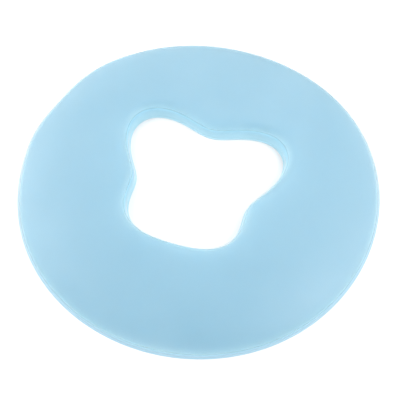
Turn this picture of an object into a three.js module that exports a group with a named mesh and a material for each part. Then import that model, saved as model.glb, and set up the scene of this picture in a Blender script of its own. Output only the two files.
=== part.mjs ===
// Face cradle cushion: a moulded gel ring that a person lying face down rests their face on.
// Three bonded pieces: a moulded upper film with narrow weld edges, the soft gel ring inside it,
// and the flat film that closes the underside.
//
// Millimetres, +Z up. The origin is the middle of the outline, on the underside.
// +Y points to the brow end of the face opening and -Y to the chin end.
import * as THREE from 'three';

// Outline of the pad
const HALF_WIDTH = 150;           // middle to the side edges, before the shaping below
const HALF_LENGTH = 147;          // middle to the brow and chin edges, before the shaping below
const BROW_FLATNESS = 0.006;      // share of the radius taken off the brow and added at the chin
const SQUARENESS = 0.0038;        // share of the radius taken off the four ends of the axes
const LENGTH_CENTRING = HALF_LENGTH * BROW_FLATNESS;   // puts the origin midway along the length

// Face opening, drawn from its own centre: radii at equal angles from the brow round to the chin
const OPENING_CENTRE_Y = -8.5;
const OPENING_RADII = [
  47,     // brow, which presses in between the eyes
  57,     // inner end of the eye lobe
  76.5,   // top of the eye lobe
  72,     // outer corner of the eye lobe
  53,     // cheekbone
  50,     // cheek, where the opening is narrowest
  59.5,   // jaw
  59,     // side of the chin
  56.5,   // chin
];

// Cross-section of the ring
const PAD_HEIGHT = 16;            // underside to the top of the crown
const CROWN_SHARE = 0.22;         // where the crown lies, from the opening (0) to the outer edge (1)
const INNER_FULLNESS = 3.6;       // exponent of the rise from the opening: 2 is a true ellipse
const OUTER_FULLNESS = 2.1;       // exponent of the fall to the outer edge
const FILM = 0.6;                 // thickness of the upper and the lower film
const WELD_WIDTH = 0.9;           // trimmed edge where the two films are welded together
const GEL_CLEARANCE = 0.2;        // gap between the gel's arched face and the film's

// Facets
const STATIONS = 80;              // cross-sections round the ring
const RISE_STEPS = 6;             // facets from the opening up to the crown
const FALL_STEPS = 8;             // facets from the crown down to the outer edge
const FLAT_STEPS = 3;             // facets across a flat face

const FILM_COLOUR = 0xa9d6eb;
const GEL_COLOUR = 0x8fc9e6;
const BASE_COLOUR = 0xa3cfe4;

// Cosine series that passes through values given at equal angles from 0 to 180 degrees.
function cosineSeries(values) {
  const last = values.length - 1;
  return values.map((_, order) => {
    let sum = 0;
    values.forEach((value, i) => {
      const endWeight = i === 0 || i === last ? 0.5 : 1;
      sum += endWeight * value * Math.cos((order * i * Math.PI) / last);
    });
    const orderWeight = order === 0 || order === last ? 1 : 2;
    return (orderWeight * sum) / last;
  });
}

const openingSeries = cosineSeries(OPENING_RADII);

// Points of the two outlines; the angle runs clockwise from +Y, seen from above.
function openingPoint(angle) {
  const radius = openingSeries.reduce((sum, term, order) => sum + term * Math.cos(order * angle), 0);
  return new THREE.Vector2(radius * Math.sin(angle), OPENING_CENTRE_Y + radius * Math.cos(angle));
}

function edgePoint(angle) {
  const shape = 1 - BROW_FLATNESS * Math.cos(3 * angle) - SQUARENESS * Math.cos(4 * angle);
  const x = HALF_WIDTH * shape * Math.sin(angle);
  const y = LENGTH_CENTRING + HALF_LENGTH * shape * Math.cos(angle);
  return new THREE.Vector2(x, y);
}

// Unit normal of an outline, pointing away from the middle of the pad.
function outwardNormal(outline, angle) {
  const step = 1e-4;
  const along = outline(angle + step).sub(outline(angle - step));
  return new THREE.Vector2(-along.y, along.x).normalize();
}

// One cross-section's place on the ring, from the opening's outline to the outer edge.
function makeStation(index) {
  const angle = (2 * Math.PI * index) / STATIONS;
  const inner = openingPoint(angle);
  const outer = edgePoint(angle);
  return {
    inner,
    outer,
    width: inner.distanceTo(outer),
    innerNormal: outwardNormal(openingPoint, angle),
    outerNormal: outwardNormal(edgePoint, angle),
  };
}

// Point in plan at a share of the way across the ring. The path is a cubic that leaves the
// opening and reaches the outer edge square to their outlines, so walls keep their thickness.
function planPoint(station, share) {
  const s2 = share * share;
  const s3 = s2 * share;
  return new THREE.Vector2()
    .addScaledVector(station.inner, 2 * s3 - 3 * s2 + 1)
    .addScaledVector(station.innerNormal, (s3 - 2 * s2 + share) * station.width)
    .addScaledVector(station.outer, 3 * s2 - 2 * s3)
    .addScaledVector(station.outerNormal, (s3 - s2) * station.width);
}

// Arch of a cross-section, from the opening over the crown to the outer edge, at a depth below
// the pad's top surface and standing on a floor height. Each point is [share, height].
function arch(station, depth, floor) {
  const edge = (WELD_WIDTH + depth) / station.width;
  const rise = PAD_HEIGHT - depth - floor;
  const points = [];
  for (let i = 0; i <= RISE_STEPS; i += 1) {
    const turn = (Math.PI / 2) * (i / RISE_STEPS);
    const across = Math.cos(turn) ** (2 / INNER_FULLNESS);
    const up = Math.sin(turn) ** (2 / INNER_FULLNESS);
    points.push([CROWN_SHARE - (CROWN_SHARE - edge) * across, floor + rise * up]);
  }
  for (let i = FALL_STEPS - 1; i >= 0; i -= 1) {
    const turn = (Math.PI / 2) * (i / FALL_STEPS);
    const across = Math.cos(turn) ** (2 / OUTER_FULLNESS);
    const up = Math.sin(turn) ** (2 / OUTER_FULLNESS);
    points.push([CROWN_SHARE + (1 - edge - CROWN_SHARE) * across, floor + rise * up]);
  }
  return points;
}

// Inner points of a straight run from one section point to another.
function between(from, to) {
  const points = [];
  for (let i = 1; i < FLAT_STEPS; i += 1) {
    const part = i / FLAT_STEPS;
    points.push([from[0] + (to[0] - from[0]) * part, from[1] + (to[1] - from[1]) * part]);
  }
  return points;
}

// Closed sections, each running from the opening over the top and back along the underside.
function upperFilmSection(station) {
  const outside = arch(station, 0, 2 * FILM);
  const inside = arch(station, FILM, FILM).reverse();
  return [[0, FILM], [0, 2 * FILM], ...outside, [1, 2 * FILM], [1, FILM], ...inside];
}

function gelSection(station) {
  const top = arch(station, FILM + GEL_CLEARANCE, FILM);
  return [...top, ...between(top[top.length - 1], top[0])];
}

function lowerFilmSection() {
  const top = [[0, FILM], ...between([0, FILM], [1, FILM]), [1, FILM]];
  const bottom = [[1, 0], ...between([1, 0], [0, 0]), [0, 0]];
  return [...top, ...bottom];
}

// Closed ring with the given section at every station.
function ringGeometry(section) {
  const positions = [];
  const indices = [];
  let sectionLength = 0;
  for (let k = 0; k < STATIONS; k += 1) {
    const station = makeStation(k);
    const points = section(station);
    sectionLength = points.length;
    for (const [share, height] of points) {
      const plan = planPoint(station, share);
      positions.push(plan.x, plan.y, height);
    }
  }
  for (let k = 0; k < STATIONS; k += 1) {
    const here = k * sectionLength;
    const next = ((k + 1) % STATIONS) * sectionLength;
    for (let i = 0; i < sectionLength; i += 1) {
      const j = (i + 1) % sectionLength;
      indices.push(here + i, next + i, here + j);
      indices.push(next + i, next + j, here + j);
    }
  }
  const geometry = new THREE.BufferGeometry();
  geometry.setAttribute('position', new THREE.Float32BufferAttribute(positions, 3));
  geometry.setIndex(indices);
  geometry.computeVertexNormals();
  return geometry;
}

function ring(name, section, colour, roughness) {
  const material = new THREE.MeshStandardMaterial({ color: colour, roughness, metalness: 0 });
  const mesh = new THREE.Mesh(ringGeometry(section), material);
  mesh.name = name;
  return mesh;
}

const cushion = new THREE.Group();
cushion.add(ring('upper_skin', upperFilmSection, FILM_COLOUR, 0.6));
cushion.add(ring('gel_ring', gelSection, GEL_COLOUR, 0.35));
cushion.add(ring('base_skin', lowerFilmSection, BASE_COLOUR, 0.7));

export default cushion;
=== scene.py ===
"""Face cradle cushion: a moulded gel ring for a massage table's face rest.

Three bonded pieces, as in the CAD frame: a translucent moulded film over the top, a soft cloudy
gel ring inside it, and a flat film under it. The film meets the lower film in a narrow welded edge
round the outline and round the face opening.

Metres, +Z up, +Y towards the brow end of the face opening.
"""
import math

import bpy
import numpy as np
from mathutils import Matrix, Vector


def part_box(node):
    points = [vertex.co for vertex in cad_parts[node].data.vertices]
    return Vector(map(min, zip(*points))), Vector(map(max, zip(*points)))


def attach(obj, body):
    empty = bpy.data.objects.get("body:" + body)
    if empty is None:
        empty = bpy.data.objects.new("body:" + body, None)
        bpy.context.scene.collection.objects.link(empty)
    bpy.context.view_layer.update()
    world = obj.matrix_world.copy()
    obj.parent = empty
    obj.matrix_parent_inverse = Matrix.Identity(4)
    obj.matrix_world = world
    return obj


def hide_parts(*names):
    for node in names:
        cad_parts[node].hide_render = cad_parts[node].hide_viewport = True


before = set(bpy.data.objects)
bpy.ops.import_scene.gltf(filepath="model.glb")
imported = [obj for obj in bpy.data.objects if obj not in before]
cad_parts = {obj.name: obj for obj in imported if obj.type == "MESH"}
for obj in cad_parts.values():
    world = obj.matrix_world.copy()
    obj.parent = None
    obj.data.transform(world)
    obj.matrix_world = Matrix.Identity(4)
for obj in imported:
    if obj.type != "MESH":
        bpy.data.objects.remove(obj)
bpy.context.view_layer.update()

MM = 0.001

# ---------------------------------------------------------------- driving dimensions, millimetres

# Outline and face opening, the same shapes as the CAD part's
HALF_WIDTH = 150.0
HALF_LENGTH = 147.0
BROW_FLATNESS = 0.006
SQUARENESS = 0.0038
OPENING_CENTRE_Y = -8.5
OPENING_RADII = (47.0, 57.0, 76.5, 72.0, 53.0, 50.0, 59.5, 59.0, 56.5)

# Cross-section of the ring
PAD_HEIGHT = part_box("upper_skin")[1].z / MM
CROWN_SHARE = 0.22       # where the crown lies, from the opening (0) to the outer edge (1)
INNER_FULLNESS = 3.6     # exponent of the rise from the opening: 2 is a true ellipse
OUTER_FULLNESS = 2.1     # exponent of the fall to the outer edge
INNER_FOOT = 1 / INNER_FULLNESS   # how the arch stands on each edge: 0.5 is a true ellipse, and
OUTER_FOOT = 0.48                 # less is more upright
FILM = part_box("base_skin")[1].z / MM
WELD_WIDTH = 0.9
GEL_CLEARANCE = 0.2
RIM_CORNER = 0.45 * FILM        # rounding of the films' trimmed rims
FOOT_FILLET = 0.4        # where the dome rises out of the welded edge
GEL_CORNER = 0.4         # rounding of the gel's bottom corners
GEL_START = 1.02 * GEL_CORNER   # height above the gel's floor at which its arch takes over

# Unevenness of a soft pad lying on a table: where the outer edge wanders in or out, as
# (angle in degrees clockwise from +Y, reach in degrees, millimetres)
EDGE_WANDER = ((306, 9, 1.1), (284, 8, -1.3), (267, 8, 0.8))
SETTLE = 0.25            # how far the top sinks on average; its gentle waves are about as high
ACROSS_WAVE = (31, 0.6)  # millimetres for one radian, and phase
ALONG_WAVE = (37, -0.4)
SLANT_WAVE = (43, 2.1)
SLANT = 1.7              # how much faster the slanting wave runs along the pad than across it
SLANT_SHARE = 0.6        # its height beside the other two together

# Mesh attributes: plan distances in millimetres, from the nearer edge and from the opening
FROM_EDGE = "from_edge"
FROM_OPENING = "from_opening"

# Fineness of the meshes
STATIONS = 320           # cross-sections round the ring
ARCH_STEPS = 34          # from an edge to the crown
CORNER_STEPS = 4         # round a corner or a fillet
RIM_STEPS = 3            # across the top of a welded edge
FLAT_STEPS = 12          # across a flat face, from an edge to below the crown

# ---------------------------------------------------------------- the ring's shape


def cosine_series(values):
    """Terms of the cosine series through values given at equal angles from 0 to 180 degrees."""
    last = len(values) - 1
    terms = []
    for order in range(last + 1):
        total = 0.0
        for i, value in enumerate(values):
            end_weight = 0.5 if i in (0, last) else 1.0
            total += end_weight * value * math.cos(order * i * math.pi / last)
        order_weight = 1.0 if order in (0, last) else 2.0
        terms.append(order_weight * total / last)
    return terms


OPENING_TERMS = cosine_series(OPENING_RADII)


def opening_outline(angle):
    """Points of the face opening; the angle runs clockwise from +Y, seen from above."""
    radius = sum(term * np.cos(order * angle) for order, term in enumerate(OPENING_TERMS))
    return np.stack([radius * np.sin(angle), OPENING_CENTRE_Y + radius * np.cos(angle)], axis=-1)


def outer_outline(angle):
    """Points of the pad's outer edge, at the same kind of angle."""
    shape = 1 - BROW_FLATNESS * np.cos(3 * angle) - SQUARENESS * np.cos(4 * angle)
    for place, reach, amount in EDGE_WANDER:
        away = (np.degrees(angle) - place + 180) % 360 - 180
        shape = shape + amount / HALF_WIDTH * np.exp(-((away / reach) ** 2))
    x = HALF_WIDTH * shape * np.sin(angle)
    y = HALF_LENGTH * (BROW_FLATNESS + shape * np.cos(angle))
    return np.stack([x, y], axis=-1)


def outward_normals(outline, angle):
    step = 1e-4
    along = outline(angle + step) - outline(angle - step)
    normal = np.stack([-along[..., 1], along[..., 0]], axis=-1)
    return normal / np.linalg.norm(normal, axis=-1, keepdims=True)


class Ring:
    """Cross-sections round the pad, from the face opening (share 0) to the outer edge (share 1)."""

    def __init__(self):
        angle = np.linspace(0, 2 * math.pi, STATIONS, endpoint=False)
        self.inner = opening_outline(angle)
        self.outer = outer_outline(angle)
        self.inner_normal = outward_normals(opening_outline, angle)
        self.outer_normal = outward_normals(outer_outline, angle)
        self.width = np.linalg.norm(self.outer - self.inner, axis=-1)

    def plan(self, share):
        """Plan points for a (stations, points) array of shares."""
        s = share[..., None]
        width = self.width[:, None, None]
        inner, outer = self.inner[:, None], self.outer[:, None]
        leave, arrive = self.inner_normal[:, None], self.outer_normal[:, None]
        from_inner = (2 * s**3 - 3 * s**2 + 1) * inner + (s**3 - 2 * s**2 + s) * width * leave
        from_outer = (3 * s**2 - 2 * s**3) * outer + (s**3 - s**2) * width * arrive
        return from_inner + from_outer

    def section(self, points):
        """(stations, points, 3) positions of a section, and values for each point by attribute.

        Each point is (side, inset, arch, height): it lies inset millimetres in from the edge on
        that side, moved on towards the crown by the share arch.
        """
        shares, heights = [], []
        for side, inset, arch, height in points:
            near = inset / self.width
            if side == "outer":
                share = 1 - near + (CROWN_SHARE - 1 + near) * arch
            else:
                share = near + (CROWN_SHARE - near) * arch
            shares.append(share)
            heights.append(np.full_like(self.width, height))
        share = np.stack(shares, axis=1)
        height = np.stack(heights, axis=1)
        plan = self.plan(share)
        marks = {
            FROM_EDGE: np.minimum(share, 1 - share) * self.width[:, None],
            FROM_OPENING: share * self.width[:, None],
        }
        return np.concatenate([plan, height[..., None]], axis=-1), marks


def half_arch(side, inset, floor, top):
    """Superellipse quarter from an edge's foot up to, and not including, the crown."""
    level = 2 / (OUTER_FULLNESS if side == "outer" else INNER_FULLNESS)
    upright = 2 * (OUTER_FOOT if side == "outer" else INNER_FOOT)
    points = []
    for i in range(ARCH_STEPS):
        turn = math.pi / 2 * i / ARCH_STEPS
        across = 1 - math.cos(turn) ** level
        points.append((side, inset, across, floor + (top - floor) * math.sin(turn) ** upright))
    return points


def whole_arch(inset, floor, top):
    """Arch from the opening's side over the crown and down to the outer side."""
    up = half_arch("inner", inset, floor, top)
    down = half_arch("outer", inset, floor, top)[::-1]
    return up + [("inner", inset, 1.0, top)] + down


def corner(side, inset, height, radius, start, end):
    """Arc about a centre; angles in degrees, 0 towards the crown and 90 upwards."""
    points = []
    for i in range(CORNER_STEPS + 1):
        turn = math.radians(start + (end - start) * i / CORNER_STEPS)
        points.append((side, inset + radius * math.cos(turn), 0.0, height + radius * math.sin(turn)))
    return points


def straight(side, start, end, height):
    """Points strictly between two insets on a welded edge's level."""
    return [(side, start + (end - start) * i / RIM_STEPS, 0.0, height) for i in range(1, RIM_STEPS)]


def flat_run(side, inset, height, steps):
    """Points on a level, moved towards the crown by each of the given numbers of flat steps."""
    return [(side, inset, step / FLAT_STEPS, height) for step in steps]


def mirrored(points):
    """The same points on the outer side, in the opposite order."""
    return [("outer", inset, arch, height) for _, inset, arch, height in points][::-1]


def film_section():
    """Closed section of the moulded film, from the opening's trimmed edge over to the outer one."""
    rim = corner("inner", RIM_CORNER, 2 * FILM - RIM_CORNER, RIM_CORNER, 180, 90)
    rim += straight("inner", RIM_CORNER, WELD_WIDTH - FOOT_FILLET, 2 * FILM)
    rim += corner("inner", WELD_WIDTH - FOOT_FILLET, 2 * FILM + FOOT_FILLET, FOOT_FILLET, -90, 0)
    left = [("inner", 0.0, 0.0, FILM)] + rim
    outside = whole_arch(WELD_WIDTH, 2 * FILM + FOOT_FILLET, PAD_HEIGHT)[1:-1]
    inside = whole_arch(WELD_WIDTH + FILM, FILM, PAD_HEIGHT - FILM)[::-1]
    return left + outside + mirrored(left) + inside


def gel_section():
    """Closed section of the gel: an arch on a flat underside with rounded corners."""
    inset = WELD_WIDTH + FILM + GEL_CLEARANCE
    arch = whole_arch(inset, FILM, PAD_HEIGHT - FILM - GEL_CLEARANCE)
    top = [point for point in arch if point[3] > FILM + GEL_START]
    foot = corner("inner", inset + GEL_CORNER, FILM + GEL_CORNER, GEL_CORNER, 270, 180)
    flat = flat_run("outer", inset + GEL_CORNER, FILM, range(1, FLAT_STEPS))
    flat += flat_run("inner", inset + GEL_CORNER, FILM, range(FLAT_STEPS, 0, -1))
    return foot + top + mirrored(foot) + flat


def lower_film_section():
    """Closed section of the flat film, with its lower rims rounded."""
    left = corner("inner", RIM_CORNER, RIM_CORNER, RIM_CORNER, 270, 180)
    left += [("inner", 0.0, 0.0, FILM)]
    top = flat_run("inner", 0.0, FILM, range(1, FLAT_STEPS + 1))
    top += flat_run("outer", 0.0, FILM, range(FLAT_STEPS - 1, 0, -1))
    bottom = flat_run("outer", RIM_CORNER, 0.0, range(1, FLAT_STEPS + 1))
    bottom += flat_run("inner", RIM_CORNER, 0.0, range(FLAT_STEPS - 1, 0, -1))
    return left + top + mirrored(left) + bottom


def sine(distance, wave):
    length, phase = wave
    return np.sin(distance / length + phase)


def settled(points):
    """Gentle uneven settling of the soft top: none at the welded edges, full at the crown."""
    x, y, z = points[..., 0], points[..., 1], points[..., 2]
    raised = np.clip((z - 2 * FILM) / (PAD_HEIGHT - 2 * FILM), 0, 1)
    waves = sine(x, ACROSS_WAVE) * sine(y, ALONG_WAVE) + SLANT_SHARE * sine(x + SLANT * y, SLANT_WAVE)
    moved = points.copy()
    moved[..., 2] = z + SETTLE * (waves - 1.0) * raised
    return moved


def ring_object(name, section, material, settle=True):
    """Closed ring with the given section at every station."""
    points, marks = Ring().section(section)
    if settle:
        points = settled(points)
    count = points.shape[1]
    faces = []
    for k in range(STATIONS):
        here, following = k * count, (k + 1) % STATIONS * count
        for i in range(count):
            j = (i + 1) % count
            faces.append((here + i, following + i, following + j, here + j))
    mesh = bpy.data.meshes.new(name)
    mesh.from_pydata((points.reshape(-1, 3) * MM).tolist(), [], faces)
    mesh.polygons.foreach_set("use_smooth", [True] * len(faces))
    for mark, values in marks.items():
        mesh.attributes.new(mark, "FLOAT", "POINT").data.foreach_set("value", values.reshape(-1))
    mesh.update()
    mesh.materials.append(material)
    piece = bpy.data.objects.new(name, mesh)
    bpy.context.scene.collection.objects.link(piece)
    return piece


# ---------------------------------------------------------------- materials


# Gel: a scattering skin, with light carried through the body to the walls and edges
GEL_DARK = (0.357, 0.645, 0.79, 1)
GEL_PALE = (0.405, 0.69, 0.83, 1)
GEL_GLOW = (0.705, 0.88, 0.955, 1)
# Painted light: a paler colour near the edges, standing in for light that passes up through the thin gel
# from the white table
GEL_PAINTED_EDGE_LIGHT = (0.54, 0.84, 0.945, 1)
PAINTED_EDGE_LIGHT_REACH = (2.0, 8.0)       # millimetres in from the edge over which that painted edge light dies away
GLOW_SHARE = 0.65           # share of the light that is carried through, not scattered back
GEL_ROUGHNESS = (0.45, 0.60)
SCATTER_RADIUS = 3 * MM
CLOUD_SIZE = 36 * MM

# Films: nearly clear over the gel, tinted at the welded edges where nothing lies behind them
FOOT_TINT = (0.355, 0.62, 0.745, 1)
# Painted shade: a darker tint up the opening's wall, so that the brightly lit wall looks no brighter than
# the top
WALL_PAINTED_SHADE = (0.235, 0.49, 0.64, 1)
WALL_SHADE_RISE = (2 * MM, 14 * MM)   # heights between which the opening's foot tint turns into the wall's painted shade
OUTLINE_TINT = (0.275, 0.50, 0.64, 1)
OPENING_SIDE = (8.0, 20.0)  # millimetres from the opening between which its tint gives way
WELD_COVER = 0.85           # how much of what lies behind is hidden by the tint: at the welds,
UPPER_COVER = 0.06          # elsewhere on the upper film,
LOWER_COVER = 0.30          # and elsewhere on the lower one
WELD_FADE = (1.7, 3.0)      # millimetres in from the edge between which the tint dies away
FILM_IOR = 1.9
FILM_ROUGHNESS = (0.52, 0.60)
SATIN_SIZE = CLOUD_SIZE / 3
GRAIN_SIZE = 0.55 * MM
GRAIN_DEPTH = 0.02 * MM
PIP_SPACING = 2.2 * MM
PIP_DEPTH = 0.15 * MM
PIP_DISORDER = 0.25         # 0 sets the pips in a square grid

# Noise values cluster round a half, so this middle part of their range is spread over the effect
NOISE_RANGE = (0.3, 0.7)

# Floor
PAPER = (0.8, 0.8, 0.8, 1)
FLOOR_FADE = (0.4, 0.9)     # metres from the middle over which it fades into the white surround


class Nodes:
    """Short way to write a node material."""

    def __init__(self, name):
        self.material = bpy.data.materials.new(name)
        self.material.use_nodes = True
        self.tree = self.material.node_tree
        self.tree.nodes.clear()
        self.output = self.tree.nodes.new("ShaderNodeOutputMaterial")

    def put(self, value, socket):
        """Link an output to a socket, or set the socket to a plain value."""
        if isinstance(value, bpy.types.NodeSocket):
            self.tree.links.new(value, socket)
        else:
            socket.default_value = value

    def add(self, kind, settings=None, **inputs):
        node = self.tree.nodes.new(kind)
        for key, value in (settings or {}).items():
            setattr(node, key, value)
        for key, value in inputs.items():
            self.put(value, node.inputs[key.replace("_", " ")])
        return node

    def surface(self, shader):
        self.put(shader, self.output.inputs["Surface"])
        return self.material


def maths(n, operation, a, b):
    node = n.add("ShaderNodeMath", {"operation": operation})
    n.put(a, node.inputs[0])
    n.put(b, node.inputs[1])
    return node.outputs[0]


def remap(n, value, start, end, low, high, kind="LINEAR"):
    node = n.add(
        "ShaderNodeMapRange",
        {"interpolation_type": kind},
        Value=value,
        From_Min=start,
        From_Max=end,
        To_Min=low,
        To_Max=high,
    )
    return node.outputs["Result"]


def mix_shaders(n, share, first, second):
    node = n.add("ShaderNodeMixShader", Fac=share)
    n.put(first, node.inputs[1])
    n.put(second, node.inputs[2])
    return node.outputs[0]


def mix_colours(n, share, first, second):
    return n.add("ShaderNodeMix", {"data_type": "RGBA"}, Factor=share, A=first, B=second).outputs["Result"]


def noise(n, place, size, detail):
    return n.add("ShaderNodeTexNoise", Vector=place, Scale=1 / size, Detail=detail).outputs["Fac"]


def object_place(n):
    return n.add("ShaderNodeTexCoord").outputs["Object"]


def attribute(n, name):
    return n.add("ShaderNodeAttribute", {"attribute_name": name}).outputs["Fac"]


def is_back(n):
    return n.add("ShaderNodeNewGeometry").outputs["Backfacing"]


def is_camera_ray(n):
    return n.add("ShaderNodeLightPath").outputs["Is Camera Ray"]


def gel_material():
    """Cloudy gel, with a paler colour painted near the edges as painted light, standing in for light that
    passes up through the thin gel from the white table.
    """
    n = Nodes("cloudy_gel")
    cloud = remap(n, noise(n, object_place(n), CLOUD_SIZE, 3.0), *NOISE_RANGE, 0.0, 1.0)
    tint = mix_colours(n, cloud, GEL_DARK, GEL_PALE)
    # painted light: paler towards the edges
    painted_edge_light = remap(n, attribute(n, FROM_EDGE), *PAINTED_EDGE_LIGHT_REACH, 1.0, 0.0, "SMOOTHSTEP")
    skin = n.add(
        "ShaderNodeBsdfPrincipled",
        Base_Color=mix_colours(n, painted_edge_light, tint, GEL_PAINTED_EDGE_LIGHT),
        Roughness=remap(n, cloud, 0.0, 1.0, *GEL_ROUGHNESS),
        Specular_IOR_Level=0.0,
        Subsurface_Weight=1.0,
        Subsurface_Radius=(1.0, 1.0, 1.0),
        Subsurface_Scale=SCATTER_RADIUS,
    )
    glow = n.add("ShaderNodeBsdfTranslucent", Color=GEL_GLOW)
    return n.surface(mix_shaders(n, GLOW_SHARE, skin.outputs["BSDF"], glow.outputs["BSDF"]))


def film_tint(n, place):
    """The film's tint: one colour round the outline, another at the opening's foot, darkening up the
    opening's wall as painted shade so that the lit wall doesn't stand out from the top.
    """
    height = n.add("ShaderNodeSeparateXYZ", Vector=place).outputs["Z"]
    # painted shade up the opening's wall
    wall_shade = remap(n, height, *WALL_SHADE_RISE, 0.0, 1.0, "SMOOTHSTEP")
    opening = mix_colours(n, wall_shade, FOOT_TINT, WALL_PAINTED_SHADE)
    side = remap(n, attribute(n, FROM_OPENING), *OPENING_SIDE, 0.0, 1.0)
    return mix_colours(n, side, opening, OUTLINE_TINT)


def film_material(name, cover, texture, depth):
    """Clear film, tinted most at the welds, with a satin gloss.

    The tint and the gloss are on its outer face only, because gel wets the inner one. Only the
    camera sees the tint: other light passes it, so that the gel behind isn't shaded.
    """
    n = Nodes(name)
    place = object_place(n)
    bump = n.add("ShaderNodeBump", Strength=1.0, Distance=depth, Height=texture(n, place)).outputs["Normal"]
    outside = maths(n, "SUBTRACT", 1.0, is_back(n))
    seen = maths(n, "MULTIPLY", outside, is_camera_ray(n))
    tinted = remap(n, attribute(n, FROM_EDGE), *WELD_FADE, WELD_COVER, cover, "SMOOTHSTEP")
    body = n.add("ShaderNodeBsdfDiffuse", Color=film_tint(n, place), Normal=bump).outputs[0]
    clear = n.add("ShaderNodeBsdfTransparent").outputs[0]
    film = mix_shaders(n, maths(n, "MULTIPLY", seen, tinted), clear, body)
    satin = remap(n, noise(n, place, SATIN_SIZE, 2.0), *NOISE_RANGE, *FILM_ROUGHNESS)
    gloss = n.add("ShaderNodeBsdfGlossy", Roughness=satin, Normal=bump).outputs[0]
    fresnel = n.add("ShaderNodeFresnel", IOR=FILM_IOR, Normal=bump).outputs[0]
    return n.surface(mix_shaders(n, maths(n, "MULTIPLY", outside, fresnel), film, gloss))


def fine_grain(n, place):
    return noise(n, place, GRAIN_SIZE, 2.0)


def pressed_pips(n, place):
    """Small shallow pips that grip the face rest."""
    cells = n.add("ShaderNodeTexVoronoi", Vector=place, Scale=1 / PIP_SPACING, Randomness=PIP_DISORDER)
    return remap(n, cells.outputs["Distance"], 0.0, 0.5, 1.0, 0.0, "SMOOTHSTEP")


def floor_material():
    """Pale paper that the camera sees fade into the white surround a little way off, and sees
    through from below, so that the pad's underside shows."""
    n = Nodes("pale_floor")
    paper = n.add("ShaderNodeBsdfDiffuse", Color=PAPER).outputs[0]
    clear = n.add("ShaderNodeBsdfTransparent").outputs[0]
    away = n.add("ShaderNodeVectorMath", {"operation": "LENGTH"}, Vector=object_place(n)).outputs["Value"]
    faded = remap(n, away, *FLOOR_FADE, 0.0, 1.0, "SMOOTHSTEP")
    hidden = maths(n, "MAXIMUM", is_back(n), faded)
    return n.surface(mix_shaders(n, maths(n, "MULTIPLY", hidden, is_camera_ray(n)), paper, clear))


# ---------------------------------------------------------------- the pad

upper_film = film_material("upper_film", UPPER_COVER, fine_grain, GRAIN_DEPTH)
base_film = film_material("base_film", LOWER_COVER, pressed_pips, PIP_DEPTH)
upper = ring_object("moulded_upper_film", film_section(), upper_film)
gel = ring_object("gel_core", gel_section(), gel_material())
lower = ring_object("lower_film", lower_film_section(), base_film, settle=False)

for piece, node, slot in (
    (upper, "upper_skin", "upper_film"),
    (gel, "gel_ring", "gel"),
    (lower, "base_skin", "base_film"),
):
    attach(piece, "root")
    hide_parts(node)

# ---------------------------------------------------------------- floor, light and camera


FLOOR_HALF = 3.0
FLOOR_GAP = 0.3 * MM        # below the pad, so that the two don't share a surface
SURROUND = 0.41             # how strongly the white surround lights the pad

# Soft boxes, in metres; azimuth 0 is in front of the chin end and 90 on its right
BOX_SIZE = 0.7
BOX_DISTANCE = 1.1
SOFT_BOXES = (              # name, azimuth, elevation, watts
    ("right_high", 90, 45, 8.7),
    ("left_high", 270, 45, 5.6),
    ("back_high", 180, 48, 4.2),
    ("front_left_high", 315, 45, 1.3),
    ("left_low", 270, 18, 2.9),
    ("back_right_low", 135, 18, 2.2),
    ("back_left_low", 225, 18, 2.2),
    ("front_low", 0, 18, 3.3),
    ("front_left_low", 315, 18, 0.7),
)

CAMERA_AZIMUTH = 17.1
CAMERA_ELEVATION = 62.9
CAMERA_DISTANCE = 365 * MM
CAMERA_TARGET = Vector((8.7, -21.6, 0)) * MM
CAMERA_LENS = 40.3


def direction(azimuth, elevation):
    """Unit vector from the pad towards a light or the camera, for angles in degrees."""
    turn, lift = math.radians(azimuth), math.radians(elevation)
    return Vector((
        math.sin(turn) * math.cos(lift),
        -math.cos(turn) * math.cos(lift),
        math.sin(lift),
    ))


def place_facing(name, data, target, towards, distance):
    """New object at a distance from a target, looking at it."""
    thing = bpy.data.objects.new(name, data)
    thing.location = target + towards * distance
    thing.rotation_euler = (-towards).to_track_quat("-Z", "Y").to_euler()
    bpy.context.scene.collection.objects.link(thing)
    return thing


def make_floor():
    half = FLOOR_HALF
    mesh = bpy.data.meshes.new("floor")
    corners = [(-half, -half, 0), (half, -half, 0), (half, half, 0), (-half, half, 0)]
    mesh.from_pydata(corners, [], [(0, 1, 2, 3)])
    mesh.materials.append(floor_material())
    floor = bpy.data.objects.new("floor", mesh)
    floor.location.z = -FLOOR_GAP
    bpy.context.scene.collection.objects.link(floor)


def make_soft_box(name, azimuth, elevation, watts):
    data = bpy.data.lights.new(name, "AREA")
    data.size = BOX_SIZE
    data.energy = watts
    place_facing(name, data, Vector((0, 0, 0)), direction(azimuth, elevation), BOX_DISTANCE)


def make_world():
    """Even white surround: it lights the pad at its strength and looks full white to the camera."""
    world = bpy.data.worlds.new("studio")
    world.use_nodes = True
    nodes, links = world.node_tree.nodes, world.node_tree.links
    background = nodes["Background"]
    background.inputs["Color"].default_value = (1, 1, 1, 1)
    rays = nodes.new("ShaderNodeLightPath")
    level = nodes.new("ShaderNodeMapRange")
    level.inputs["To Min"].default_value = SURROUND
    links.new(rays.outputs["Is Camera Ray"], level.inputs["Value"])
    links.new(level.outputs["Result"], background.inputs["Strength"])
    bpy.context.scene.world = world


def make_camera():
    data = bpy.data.cameras.new("camera")
    data.lens = CAMERA_LENS
    towards = direction(CAMERA_AZIMUTH, CAMERA_ELEVATION)
    bpy.context.scene.camera = place_facing("camera", data, CAMERA_TARGET, towards, CAMERA_DISTANCE)


make_floor()
make_world()
for soft_box in SOFT_BOXES:
    make_soft_box(*soft_box)
make_camera()
bpy.context.scene.view_settings.view_transform = "Standard"
